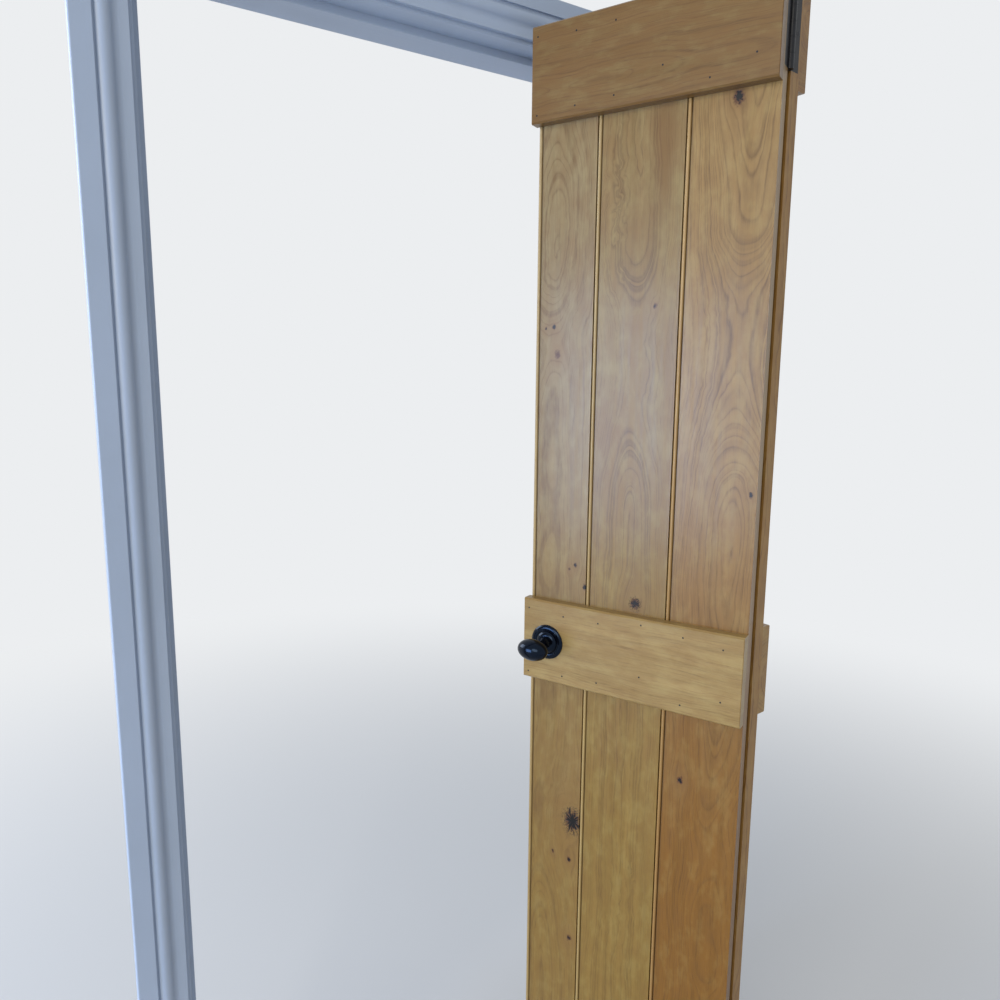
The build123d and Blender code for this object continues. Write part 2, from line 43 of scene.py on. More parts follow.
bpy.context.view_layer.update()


def linear(code: str, alpha: float = 1.0) -> tuple[float, float, float, float]:
    """Turns an sRGB hex colour to linear values.

    Args:
        code: Six hex digits with a leading #.
        alpha: The fourth value.

    Returns:
        Red, green and blue in linear light, and alpha.
    """
    parts = [int(code[i:i + 2], 16) / 255 for i in (1, 3, 5)]
    red, green, blue = (c / 12.92 if c <= 0.04045 else ((c + 0.055) / 1.055) ** 2.4 for c in parts)
    return red, green, blue, alpha


def add(
    tree: NodeTree, kind: str, links: dict[Any, Any] | tuple[Any, ...] = (), output: Any = 0, **settings: Any
) -> Any:
    """Adds a shader node with its settings and links.

    Args:
        tree: The node tree that it joins.
        kind: The node's type, without ShaderNode, and its operation after a colon where it has one.
        links: What its inputs get, values or the sockets that feed them, in order or by name or number.
        output: The output wanted, by name or number, or None for the node itself.
        **settings: The node's own properties.

    Returns:
        The output socket, or the node.
    """
    kind, _, operation = kind.partition(":")
    node = tree.nodes.new("ShaderNode" + kind)
    if operation:
        node.operation = operation
    for name, value in settings.items():
        setattr(node, name, value)
    for name, value in links.items() if isinstance(links, dict) else enumerate(links):
        if isinstance(value, NodeSocket):
            tree.links.new(value, node.inputs[name])
        else:
            node.inputs[name].default_value = value
    return node if output is None else node.outputs[output]


def new_material(name: str) -> tuple[Material, NodeTree]:
    """Makes an empty node material.

    Args:
        name: Its name.

    Returns:
        The material and its node tree.
    """
    material = bpy.data.materials.new(name)
    material.use_nodes = True
    material.node_tree.nodes.clear()
    return material, material.node_tree


def dress(obj: Object, material: Material) -> None:
    """Gives an object one material."""
    obj.data.materials.clear()
    obj.data.materials.append(material)


def dress_nodes(material: Material, *names: str) -> None:
    """Gives the solids of these names one material."""
    for name in names:
        dress(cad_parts[name], material)


def mesh_object(name: str, points: np.ndarray, faces: np.ndarray, smooth: bool = True) -> Object:
    """Makes an object from worked-out points and four-sided faces.

    Args:
        name: The object's name.
        points: Points, one to a row, in metres in the row frame.
        faces: Point numbers, four to a row.
        smooth: Whether its faces are shaded smooth.

    Returns:
        The new object, linked to the scene.
    """
    mesh = bpy.data.meshes.new(name)
    mesh.vertices.add(len(points))
    mesh.vertices.foreach_set("co", np.ascontiguousarray(points, np.float32).ravel())
    mesh.loops.add(faces.size)
    mesh.loops.foreach_set("vertex_index", np.ascontiguousarray(faces, np.int32).ravel())
    mesh.polygons.add(len(faces))
    mesh.polygons.foreach_set("loop_start", np.arange(0, faces.size, 4, dtype=np.int32))
    mesh.polygons.foreach_set("use_smooth", np.full(len(faces), smooth))
    mesh.update(calc_edges=True)
    mesh.validate()
    obj = bpy.data.objects.new(name, mesh)
    bpy.context.scene.collection.objects.link(obj)
    return obj


def ring_faces(rings: int, around: int) -> np.ndarray:
    """Numbers the faces of a closed surface of rings.

    Args:
        rings: How many rings of points there are.
        around: How many points a ring has.

    Returns:
        Four point numbers to a row, facing outwards where the rings rise and turn anticlockwise.
    """
    row, step = np.meshgrid(np.arange(rings - 1), np.arange(around), indexing="ij")
    ahead = (step + 1) % around
    low, high = row * around, (row + 1) * around
    return np.stack([low + step, low + ahead, high + ahead, high + step], -1).reshape(-1, 4)


class Body(Enum):
    """The bodies of the part that carry pieces made here."""

    FRAME = "frame"
    HUNG = "hung_leaf"
    LEADING = "leading_leaf"


class Way(Enum):
    """Which way a length of timber runs in its leaf."""

    UPRIGHT = "boards, whose grain runs up"
    LYING = "ledges, whose grain runs across the leaf"


def about(x: float, y: float, degrees: float) -> Matrix:
    """Gives a turn about an upright axis through a point in millimetres."""
    axis = Matrix.Translation((x * MM, y * MM, 0))
    return axis @ Matrix.Rotation(math.radians(degrees), 4, "Z") @ axis.inverted()


@dataclass(frozen=True)
class Door:
    """The door's main sizes and how it stands open, in millimetres and degrees.

    Attributes:
        free_edge: X of the leading leaf's edge when the door is shut.
        room_face: Y of the ledges' face when the door is shut.
        thick: Thickness of a leaf over its ledges.
        fold: X and Y of the fold's axis.
        jamb: X and Y of the jamb hinges' axis.
        opened: How far the hung leaf is open.
        folded: How far the leading leaf is folded back.
        gap: Gap between the leaves.
    """

    free_edge: float = 9.0
    room_face: float = -51.0
    thick: float = 40.0
    fold: tuple[float, float] = (391.5, -5.5)
    jamb: tuple[float, float] = (775.5, -56.5)
    opened: float = 97.0
    folded: float = 162.0
    gap: float = 3.0

    def rest(self, body: Body) -> Matrix:
        """Gives how a body has moved from the shut door to its resting place."""
        hung = about(*self.jamb, self.opened)
        if body is Body.FRAME:
            return Matrix.Identity(4)
        return hung if body is Body.HUNG else hung @ about(*self.fold, -self.folded)

    def shut(
        self, body: Body, point: tuple[float, float, float], facing: tuple[float, float, float],
        spin: float = 0.0,
    ) -> Matrix:
        """Places a small piece on a body from its place on the shut door.

        Args:
            body: The body that it sits on.
            point: Its place on the shut door, in millimetres.
            facing: The way that its Z looks on the shut door.
            spin: How far it is turned about its own Z, in degrees.

        Returns:
            Its place at rest, in metres in the row frame.
        """
        z_axis = Vector(facing).normalized()
        x_axis = Vector((0, 0, 1)).cross(z_axis).normalized()
        turned = Matrix((x_axis, z_axis.cross(x_axis), z_axis)).transposed().to_4x4()
        spun = Matrix.Rotation(math.radians(spin), 4, "Z")
        return self.rest(body) @ Matrix.Translation(Vector(point) * MM) @ turned @ spun


@dataclass(frozen=True)
class LeafPlace:
    """Where a leaf stands at rest, for the grain of its boards.

    Attributes:
        corner: The leaf's outer edge at the floor on its middle plane, in metres.
        angle: The way across the leaf from its outer edge to the fold, in radians from X.
        mirrored: Whether the leaf is the mirror image of the one that carries the knobs.
    """

    corner: Vector
    angle: float
    mirrored: bool

    def mapping(self, tree: NodeTree) -> NodeSocket:
        """Adds the nodes that turn object coordinates to leaf coordinates in millimetres.

        Args:
            tree: The material's tree.

        Returns:
            A vector: across the leaf, depth from its middle plane, height.
        """
        flip = -1 if self.mirrored else 1
        turned = Matrix.Rotation(-flip * self.angle, 4, "Z") @ Matrix.Diagonal((1, flip, 1, 1)) @ self.corner
        place = add(tree, "TexCoord", output="Object")
        return add(tree, "Mapping", {
            "Vector": place, "Location": tuple(-turned / MM), "Rotation": (0, 0, -flip * self.angle),
            "Scale": (1 / MM, flip / MM, 1 / MM),
        })


def leaf_place(door: Door, body: Body) -> LeafPlace:
    """Finds a leaf's place at rest.

    Args:
        door: The door's sizes.
        body: Which leaf.

    Returns:
        Its place.
    """
    middle = door.room_face + door.thick / 2
    mirrored = body is Body.HUNG
    edge = 2 * door.fold[0] - door.free_edge if mirrored else door.free_edge
    moved = door.rest(body)
    corner = moved @ Vector((edge * MM, middle * MM, 0))
    inward = Vector((-1 if mirrored else 1, 0, 0))
    along = moved.to_3x3() @ inward
    return LeafPlace(corner, math.atan2(along.y, along.x), mirrored)


@dataclass(frozen=True)
class Knot:
    """A knot in leaf coordinates, in millimetres.

    Attributes:
        across: Its place from the leaf's outer edge.
        up: Its height above the floor.
        radius: Half its width.
        stretch: Its length over its width.
        split: How much of it is open and black, from 0 to 1.
        star: Whether it has dried into a star of cracks.
    """

    across: float
    up: float
    radius: float
    stretch: float = 1.3
    split: float = 0.6
    star: bool = False


@dataclass(frozen=True)
class Curl:
    """A patch of curly figure in leaf coordinates, in millimetres.

    Attributes:
        across: Its middle from the leaf's outer edge.
        up: Its middle above the floor.
        wide: Its reach across.
        tall: Its reach up and down.
        swing: How far the grain swings there.
    """

    across: float
    up: float
    wide: float
    tall: float
    swing: float


@dataclass(frozen=True)
class Rise:
    """A height at which a board's face draws away from the tree's heart, so that arches nest there.

    Attributes:
        up: Middle height, in millimetres.
        tall: Half the length over which it happens.
        swing: How far the heart draws away, upwards.
    """

    up: float
    tall: float
    swing: float


@dataclass(frozen=True)
class Pattern:
    """A noise that is stretched along the grain, brush marks or scratches.

    Attributes:
        scale: Repeats along X, Y and Z in each unit of the place.
        detail: How many finer layers it has.
        rough: How strong each of them is.
        twist: How far it is distorted.
    """

    scale: tuple[float, float, float]
    detail: float
    rough: float
    twist: float = 0.0

    def lay(self, tree: NodeTree, place: NodeSocket) -> NodeSocket:
        """Adds the noise over a place and gives its value, which is 0.5 on average."""
        spread = add(tree, "Mapping", {"Vector": place, "Scale": self.scale})
        return add(tree, "TexNoise", {
            "Vector": spread, "Scale": 1.0, "Detail": self.detail, "Roughness": self.rough,
            "Distortion": self.twist,
        })


# The oak's patterns, scaled for each millimetre across, through and along the grain. Pores are dashes about
# 1 mm wide and 3 cm long, twice as coarse as real ones so that they show.
PORES = Pattern((0.62, 0.62, 0.03), 2.0, 0.6)
STREAKS = Pattern((0.13, 0.13, 0.0045), 4.0, 0.62)
CLOUDS = Pattern((0.05, 0.05, 0.024), 4.0, 0.6)
DRIFT = Pattern((0.015, 0.02, 0.0034), 3.0, 0.6)
SWIRL = Pattern((0.034, 0.034, 0.026), 2.0, 0.5, 0.8)
CRACKS = Pattern((0.21, 0.21, 0.17), 2.0, 0.55)
RAGGED = Pattern((0.2, 0.2, 0.2), 3.0, 0.62)
# How the grain waves across the face and the heart sways behind it, each with its swing in millimetres
WAVES = (
    (Pattern((0.011, 0.011, 0.0042), 1.0, 0.5), 30.0),
    (Pattern((0.032, 0.032, 0.013), 1.0, 0.5), 8.5),
    (Pattern((0.09, 0.09, 0.05), 1.0, 0.5), 2.6),
)
SWAY = (Pattern((0.006, 0.006, 0.0055), 1.5, 0.45), 40.0)
# How dark the wood is over one ring: at both its ends, and at places between them from 0 to 1
RING_ENDS = 0.95
RING = ((0.06, 0.72), (0.17, 0.24), (0.45, 0.0), (0.8, 0.08), (0.92, 0.58))
# How far a knot pushes the grain aside, and over how many times its width and length
KNOT_PUSH = 0.85
KNOT_REACH = (3.0, 4.2)
# The foot's colour is full below the second height and gone above the first, give or take a drift. It is
# partly the board's own deeper tone and partly painted shade, standing in for the lower half catching less
# sheen than the upper.
FOOT_TONE_AND_SHADE_HEIGHTS = (1700.0, 700.0)
FOOT_TONE_AND_SHADE_DRIFT = 300.0
# On the ledges' side a bead gets a pale stripe, a painted highlight where it catches the light, and a dark
# stripe on each side, painted shade in its quirk and in the joint. Each stripe has its place off the bead's
# middle and its reach in millimetres, its share, and its colour if not the bead's.
LEDGE_SIDE = 6.0
BEAD_HIGHLIGHT_AND_SHADE = ((0.0, 3.2, 0.42, ""), (-4.4, 1.5, 0.75, "#3c2811"), (4.6, 1.5, 0.75, "#3c2811"))
ENDLESS = 1e5
# Colours of the olive patches, the pores, the heartwood's stains, and a knot's rim, heart and hole
OLIVE, PORE, STAIN = "#ab9a62", "#3f2912", "#69481f"
KNOT_RIM, KNOT_HEART, KNOT_HOLE = "#7c5c34", "#4a2719", "#0c0805"


@dataclass(frozen=True)
class Spot:
    """The sockets of a place in the leaf, in millimetres.

    Attributes:
        place: The place as a vector.
        x: Its place across the leaf from the outer edge.
        depth: Its depth from the leaf's middle plane.
        z: Its height.
    """

    place: NodeSocket
    x: NodeSocket
    depth: NodeSocket
    z: NodeSocket

    def hump(self, tree: NodeTree, middle: tuple[float, float], reach: tuple[float, float]) -> NodeSocket:
        """Adds a bell-shaped field: e to the minus of the squared distance, counted in reaches each way.

        Args:
            tree: The material's tree.
            middle: The field's middle, across and up.
            reach: How far from there it has fallen to 0.37, across and up.

        Returns:
            A socket that is 1 in the middle and falls to 0.
        """
        squared = 0.0
        for socket, centre, far in ((self.x, middle[0], reach[0]), (self.z, middle[1], reach[1])):
            off = add(tree, "Math:SUBTRACT", (socket, centre))
            off = add(tree, "Math:MULTIPLY", (off, 1 / far))
            squared = add(tree, "Math:MULTIPLY_ADD", (off, off, squared))
        squared = add(tree, "Math:MULTIPLY", (squared, -1.0))
        return add(tree, "Math:EXPONENT", (squared,))


@dataclass(frozen=True)
class LacqueredOak:
    """Rustic oak, planed, sanded and lacquered satin.

    To the eye: honey ground, growth rings cut as long arches, fine dark pores in the early wood, curls
    and black-hearted knots, under a thin even gloss that shows soft lights as a broad sheen.

    Attributes:
        name: The board's or ledge's name.
        ground: Colour of the early wood.
        late: Colour of the late wood lines.
        warm: Colour that drifts in over broad patches.
        centre: Place of the tree's heart across the grain. This and the next four are in millimetres.
        deep: How far behind the face the heart lies.
        lean: How far the heart moves away for each metre along the grain.
        arch: Place along the grain where the heart lies nearest.
        ring: Ring width.
        seed: Shifts every noise.
        brown: Colour of the darker clouds.
        way: Which way the grain runs.
        knots: The knots on it.
        curls: Its curly patches.
        stains: Dark streaks of heartwood, whose swing is their strength.
        rises: Where arches nest.
        foot: Colour that a board deepens to in its lower half, partly its own tone and partly painted shade
            for the lower half catching less sheen.
        bead: Place of the board's bead across the leaf, in millimetres, or 0 where there is none.
        bead_highlight: Colour of the painted highlight on the bead.
    """

    name: str
    ground: str
    late: str
    warm: str
    centre: float
    deep: float
    lean: float
    arch: float
    ring: float
    seed: float
    brown: str = "#7d5526"
    way: Way = Way.UPRIGHT
    knots: tuple[Knot, ...] = ()
    curls: tuple[Curl, ...] = ()
    stains: tuple[Curl, ...] = ()
    rises: tuple[Rise, ...] = ()
    foot: str = ""
    bead: float = 0.0
    bead_highlight: str = "#c8ad78"

    def star(self, tree: NodeTree, spot: Spot, knot: Knot, core: NodeSocket) -> NodeSocket:
        """Adds a dried knot's cracks, by a noise that changes more round its middle than outwards from it.

        Args:
            tree: The material's tree.
            spot: The place in the leaf.
            knot: The knot.
            core: Its bell-shaped field.

        Returns:
            A socket that is 1 in a crack and 0 off it.
        """
        crack = add(tree, "Math:SUBTRACT", (CRACKS.lay(tree, spot.place), 0.5))
        crack = add(tree, "Math:ABSOLUTE", (crack,))
        crack = add(tree, "MapRange", (crack, 0.014, 0.04, 1.0, 0.0))
        away = add(tree, "VectorMath:SUBTRACT", (spot.place, (knot.across, 0.0, knot.up)))
        away = add(tree, "VectorMath:MULTIPLY", (away, (1.0, 0.0, 1.0)))
        spokes = add(tree, "VectorMath:NORMALIZE", (away,))
        spokes = add(tree, "VectorMath:SCALE", {0: spokes, 3: 3.4})
        away = add(tree, "VectorMath:SCALE", {0: away, 3: 0.05})
        spokes = add(tree, "VectorMath:ADD", (spokes, away))
        spokes = add(tree, "TexNoise", {"Vector": spokes, "Scale": 1.0, "Detail": 1.0})
        spokes = add(tree, "Math:MULTIPLY_ADD", (spokes, 1.9, core))
        spokes = add(tree, "MapRange", (spokes, 1.6, 1.76))
        rays = add(tree, "MapRange", (core, 0.1, 0.4))
        rays = add(tree, "Math:MULTIPLY", (rays, crack))
        return add(tree, "Math:MAXIMUM", (rays, spokes))

    def knotted(self, tree: NodeTree, spot: Spot) -> tuple[Any, Any, Any, Any]:
        """Adds the fields of all the knots together.

        Args:
            tree: The material's tree.
            spot: The place in the leaf.

        Returns:
            How far the grain is pushed aside, and from 0 to 1 how much is heart, open crack and halo.
        """
        push, heart, hole, halo = 0.0, 0.0, 0.0, 0.0
        ragged = RAGGED.lay(tree, spot.place)
        for knot in self.knots:
            middle, reach = (knot.across, knot.up), (knot.radius, knot.radius * knot.stretch)
            core = spot.hump(tree, middle, reach)
            wide = spot.hump(tree, middle, (reach[0] * KNOT_REACH[0], reach[1] * KNOT_REACH[1]))
            off = add(tree, "Math:SUBTRACT", (spot.x, knot.across))
            off = add(tree, "Math:MULTIPLY", (off, wide))
            push = add(tree, "Math:MULTIPLY_ADD", (off, -KNOT_PUSH, push))
            # A noise roughens the bell, which is heart above one height and open above another
            uneven = add(tree, "Math:MULTIPLY_ADD", (ragged, 1.3, core))
            dark = add(tree, "MapRange", (uneven, 0.95, 1.45), interpolation_type="SMOOTHSTEP")
            heart = add(tree, "Math:MAXIMUM", (heart, dark))
            edge = 1.72 - 0.45 * knot.split
            opened = add(tree, "MapRange", (uneven, edge, edge + 0.1), interpolation_type="SMOOTHSTEP")
            if knot.star:
                opened = add(tree, "Math:MAXIMUM", (opened, self.star(tree, spot, knot, core)))
            hole = add(tree, "Math:MAXIMUM", (hole, opened))
            halo = add(tree, "Math:MAXIMUM", (halo, wide))
        return push, heart, hole, halo

    def late_wood(
        self, tree: NodeTree, spot: Spot, seeded: NodeSocket, across: Any, along: Any
    ) -> tuple[NodeSocket, NodeSocket]:
        """Adds the growth rings, counted by the distance to the tree's heart.

        The distance is the root of two squares. One is of the place across the grain from the heart, where
        the grain waves and curls. The other is of the heart's depth, where it leans, sways and draws away.

        Args:
            tree: The material's tree.
            spot: The place in the leaf.
            seeded: The place along the grain that the noises take.
            across: The place across the grain.
            along: The place along the grain.

        Returns:
            How dark the wood is within its ring, and how strong that ring is, both from 0 to 1.
        """
        for pattern, swing in WAVES:
            wave = add(tree, "Math:SUBTRACT", (pattern.lay(tree, seeded), 0.5))
            across = add(tree, "Math:MULTIPLY_ADD", (wave, swing, across))
        for curl in self.curls:
            patch = spot.hump(tree, (curl.across, curl.up), (curl.wide, curl.tall))
            patch = add(tree, "Math:MULTIPLY", (patch, curl.swing))
            swirl = add(tree, "Math:SUBTRACT", (SWIRL.lay(tree, spot.place), 0.5))
            across = add(tree, "Math:MULTIPLY_ADD", (swirl, patch, across))
        aside = add(tree, "Math:SUBTRACT", (across, self.centre))
        behind = add(tree, "Math:SUBTRACT", (along, self.arch))
        behind = add(tree, "Math:MULTIPLY_ADD", (behind, self.lean * MM, self.deep))
        behind = add(tree, "Math:ADD", (behind, spot.depth))
        sway = add(tree, "Math:SUBTRACT", (SWAY[0].lay(tree, seeded), 0.5))
        behind = add(tree, "Math:MULTIPLY_ADD", (sway, SWAY[1], behind))
        for rise in self.rises:
            away = add(tree, "MapRange", (
                spot.z, rise.up - rise.tall, rise.up + rise.tall, 0.0, rise.swing,
            ), interpolation_type="SMOOTHSTEP")
            behind = add(tree, "Math:ADD", (away, behind))
        behind = add(tree, "Math:MULTIPLY", (behind, behind))
        distance = add(tree, "Math:MULTIPLY_ADD", (aside, aside, behind))
        distance = add(tree, "Math:SQRT", (distance,))
        years = add(tree, "TexNoise", {"W": distance, "Scale": 0.12, "Detail": 2.0}, noise_dimensions="1D")
        distance = add(tree, "Math:MULTIPLY_ADD", (years, self.ring * 3, distance))
        rings = add(tree, "Math:MULTIPLY", (distance, 1 / self.ring))
        ramp = add(tree, "ValToRGB", (add(tree, "Math:FRACT", (rings,)),), output=None)
        for end in ramp.color_ramp.elements:
            end.color = (RING_ENDS, RING_ENDS, RING_ENDS, 1)
        for part, value in RING:
            ramp.color_ramp.elements.new(part).color = (value, value, value, 1)
        number = add(tree, "Math:FLOOR", (rings,))
        strength = add(tree, "TexWhiteNoise", {"W": number}, noise_dimensions="1D")
        return ramp.outputs[0], add(tree, "MapRange", (strength, 0.0, 1.0, 0.35, 1.0))

    def make(self, leaf: LeafPlace) -> Material:
        """Builds the material for a leaf at its resting place.

        Args:
            leaf: The leaf that the timber belongs to.

        Returns:
            The material.
        """
        material, tree = new_material(f"lacquered_oak_{self.name}")
        place = leaf.mapping(tree)
        spot = Spot(place, *add(tree, "SeparateXYZ", (place,), output=None).outputs)
        push, heart, hole, halo = self.knotted(tree, spot)
        across, along = add(tree, "Math:ADD", (spot.x, push)), spot.z
        if self.way is Way.LYING:
            across, along = spot.z, spot.x
        seeded = add(tree, "CombineXYZ", (across, spot.depth, along))
        seeded = add(tree, "VectorMath:ADD", (seeded, (self.seed, self.seed * 0.7, self.seed * 13)))
        late, strength = self.late_wood(tree, spot, seeded, across, along)
        pores = add(tree, "MapRange", (PORES.lay(tree, seeded), 0.5, 0.68))
        streaks, clouds = STREAKS.lay(tree, seeded), CLOUDS.lay(tree, seeded)
        drift = add(tree, "MapRange", (DRIFT.lay(tree, seeded), 0.36, 0.64))

        # Ground: each layer's share and colour, over the early wood's own
        line = add(tree, "Math:MULTIPLY", (late, strength))
        uneven = add(tree, "MapRange", (clouds, 0.34, 0.64, 0.92, 0.4))
        line = add(tree, "Math:MULTIPLY", (line, uneven), use_clamp=True)
        layers = [(drift, self.warm)]
        # Partly the board's own tone and partly painted shade: the lower half deepens to the foot's colour,
        # as it catches less sheen than the upper half; the late wood fades there too
        if self.foot:
            lower = add(tree, "Math:MULTIPLY_ADD", (drift, FOOT_TONE_AND_SHADE_DRIFT, spot.z))
            lower = add(tree, "MapRange", (lower, *FOOT_TONE_AND_SHADE_HEIGHTS), interpolation_type="SMOOTHSTEP")
            layers.append((lower, self.foot))
            line = add(tree, "Math:MULTIPLY", (
                line, add(tree, "MapRange", (lower, 0.0, 1.0, 1.0, 0.62)),
            ))
        layers.append((add(tree, "MapRange", (clouds, 0.32, 0.62, 0.34, 0.0)), self.brown))
        layers.append((add(tree, "MapRange", (clouds, 0.5, 0.72, 0.0, 0.15)), OLIVE))
        wood = linear(self.ground)
        for share, tone in layers:
            wood = add(tree, "Mix", {0: share, 6: wood, 7: linear(tone)}, output=2, data_type="RGBA")
        bands = add(tree, "MapRange", (streaks, 0.3, 0.7, 0.81, 0.94))
        wood = add(tree, "VectorMath:SCALE", {0: wood, 3: bands})

        # What lies over it: late wood, pores, stains, the bead's stripes and the knots
        shown = add(tree, "Math:MULTIPLY_ADD", (late, 0.22, 0.1))
        layers = [(line, self.late), (add(tree, "Math:MULTIPLY", (pores, shown)), PORE)]
        for streak in self.stains:
            stain = spot.hump(tree, (streak.across, streak.up), (streak.wide, streak.tall))
            stain = add(tree, "Math:MULTIPLY", (stain, bands))
            stain = add(tree, "Math:MULTIPLY", (stain, streak.swing), use_clamp=True)
            layers.append((stain, STAIN))
        # Painted highlight on the bead and painted shade in its quirk and joint, on the ledges' side only
        if self.bead:
            near = add(tree, "Math:LESS_THAN", (spot.depth, LEDGE_SIDE))
            for off, reach, share, tone in BEAD_HIGHLIGHT_AND_SHADE:
                stripe = spot.hump(tree, (self.bead + off, 0.0), (reach, ENDLESS))
                stripe = add(tree, "Math:MULTIPLY", (stripe, near))
                stripe = add(tree, "Math:MULTIPLY", (stripe, share))
                layers.append((stripe, tone or self.bead_highlight))
        if self.knots:
            layers.append((add(tree, "Math:MULTIPLY", (halo, 0.42)), KNOT_RIM))
            layers.append((add(tree, "Math:MULTIPLY", (heart, 0.8)), KNOT_HEART))
            layers.append((hole, KNOT_HOLE))
        for share, tone in layers:
            wood = add(tree, "Mix", {0: share, 6: wood, 7: linear(tone)}, output=2, data_type="RGBA")

        # Surface: lacquer lies a little lower in the pores, the late wood and the cracks
        height = add(tree, "Math:MULTIPLY_ADD", (pores, -0.7, 1.0))
        height = add(tree, "Math:MULTIPLY_ADD", (line, -0.5, height))
        if self.knots:
            height = add(tree, "Math:MULTIPLY_ADD", (hole, -5.0, height))
        bump = add(tree, "Bump", {"Height": height, "Strength": 0.4, "Distance": 0.12 * MM})
        rough = add(tree, "MapRange", (streaks, 0.3, 0.7, 0.29, 0.42))
        shader = add(tree, "BsdfPrincipled", {
            "Base Color": wood, "Roughness": rough, "IOR": 1.5, "Specular IOR Level": 0.28, "Normal": bump,
            "Coat Weight": 0.16, "Coat Roughness": 0.18, "Coat IOR": 1.5,
        })
        add(tree, "OutputMaterial", {"Surface": shader}, output=None)
        return material


@dataclass(frozen=True)
class BrushedPaint:
    """Pale water-based satinwood, brushed on softwood.

    To the eye: long brush marks under a soft gloss, greyer where hands and dust reach. The cool blue-grey of
    the lining's colours is painted shade on white satinwood.

    Attributes:
        name: The material's name.
        colour: The paint.
        shade: The paint where dust has settled.
        stroke: Brush marks a metre along X, Y and Z.
    """

    name: str
    colour: str
    shade: str
    stroke: tuple[float, float, float]

    def make(self) -> Material:
        """Builds the material."""
        material, tree = new_material(self.name)
        place = add(tree, "TexCoord", output="Object")
        brushed = Pattern(self.stroke, 3.0, 0.6).lay(tree, place)
        cloud = add(tree, "TexNoise", {"Vector": place, "Scale": 3.0, "Detail": 4.0, "Roughness": 0.6})
        cloud = add(tree, "MapRange", (cloud, 0.42, 0.75, 0.0, 0.6))
        colours = {0: cloud, 6: linear(self.colour), 7: linear(self.shade)}
        colour = add(tree, "Mix", colours, output=2, data_type="RGBA")
        rough = add(tree, "MapRange", (brushed, 0.3, 0.7, 0.34, 0.48))
        bump = add(tree, "Bump", {"Height": brushed, "Strength": 0.25, "Distance": 0.15 * MM})
        shader = add(tree, "BsdfPrincipled", {
            "Base Color": colour, "Roughness": rough, "IOR": 1.5, "Normal": bump,
        })
        add(tree, "OutputMaterial", {"Surface": shader}, output=None)
        return material


@dataclass(frozen=True)
class BlackFinish:
    """Black stoving enamel or paint on iron.

    To the eye: near black with a faint blue cast of its own, glossy on what is handled and duller on the
    hinges. Where its reflections are tinted blue, that is painted reflection colour standing in for blue
    window light.

    Attributes:
        name: The material's name.
        colour: The enamel.
        worn: The enamel where it is rubbed or dusty.
        rough: The lowest and highest roughness.
        shine: Specular level.
        orange_peel: Depth of the sprayed surface's ripple, in millimetres.
        sheen: Colour that tints the reflections. On the knobs, roses and their screws it is blue, a painted
            reflection colour standing in for blue window light.
    """

    name: str
    colour: str
    worn: str
    rough: tuple[float, float]
    shine: float
    orange_peel: float
    sheen: str = "#ffffff"

    def make(self) -> Material:
        """Builds the material."""
        material, tree = new_material(self.name)
        place = add(tree, "TexCoord", output="Object")
        patch = add(tree, "TexNoise", {"Vector": place, "Scale": 45.0, "Detail": 4.0, "Roughness": 0.6})
        patch = add(tree, "MapRange", (patch, 0.4, 0.75))
        colours = {0: patch, 6: linear(self.colour), 7: linear(self.worn)}
        colour = add(tree, "Mix", colours, output=2, data_type="RGBA")
        rough = add(tree, "MapRange", (patch, 0.0, 1.0, *self.rough))
        ripple = add(tree, "TexNoise", {"Vector": place, "Scale": 420.0, "Detail": 1.0})
        bump = add(tree, "Bump", {"Height": ripple, "Strength": 0.3, "Distance": self.orange_peel * MM})
        shader = add(tree, "BsdfPrincipled", {
            "Base Color": colour, "Roughness": rough, "IOR": 1.5, "Specular IOR Level": self.shine,
            "Specular Tint": linear(self.sheen), "Normal": bump,
        })
        add(tree, "OutputMaterial", {"Surface": shader}, output=None)
        return material


@dataclass(frozen=True)
class GroundSteel:
    """Mild steel plate, ground along its length and oiled.

    To the eye: grey metal with fine lengthwise scratches and a few brown specks.

    Attributes:
        name: The material's name.
        colour: The clean metal.
        tarnish: The metal where it has browned.
        grain: Scratches a metre along X, Y and Z, drawn about 1 mm wide, where real ones wouldn't show.
    """

    name: str
    colour: str
    tarnish: str
    grain: tuple[float, float, float]

    def make(self) -> Material:
        """Builds the material."""
        material, tree = new_material(self.name)
        place = add(tree, "TexCoord", output="Object")
        scratch = Pattern(self.grain, 2.0, 0.5).lay(tree, place)
        specks = add(tree, "TexNoise", {"Vector": place, "Scale": 160.0, "Detail": 5.0, "Roughness": 0.7})
        specks = add(tree, "MapRange", (specks, 0.55, 0.8))
        colours = {0: specks, 6: linear(self.colour), 7: linear(self.tarnish)}
        colour = add(tree, "Mix", colours, output=2, data_type="RGBA")
        rough = add(tree, "MapRange", (scratch, 0.3, 0.7, 0.28, 0.46))
        bump = add(tree, "Bump", {"Height": scratch, "Strength": 0.3, "Distance": 0.03 * MM})
        shader = add(tree, "BsdfPrincipled", {
            "Base Color": colour, "Metallic": 1.0, "Roughness": rough, "Normal": bump,
        })
        add(tree, "OutputMaterial", {"Surface": shader}, output=None)
        return material


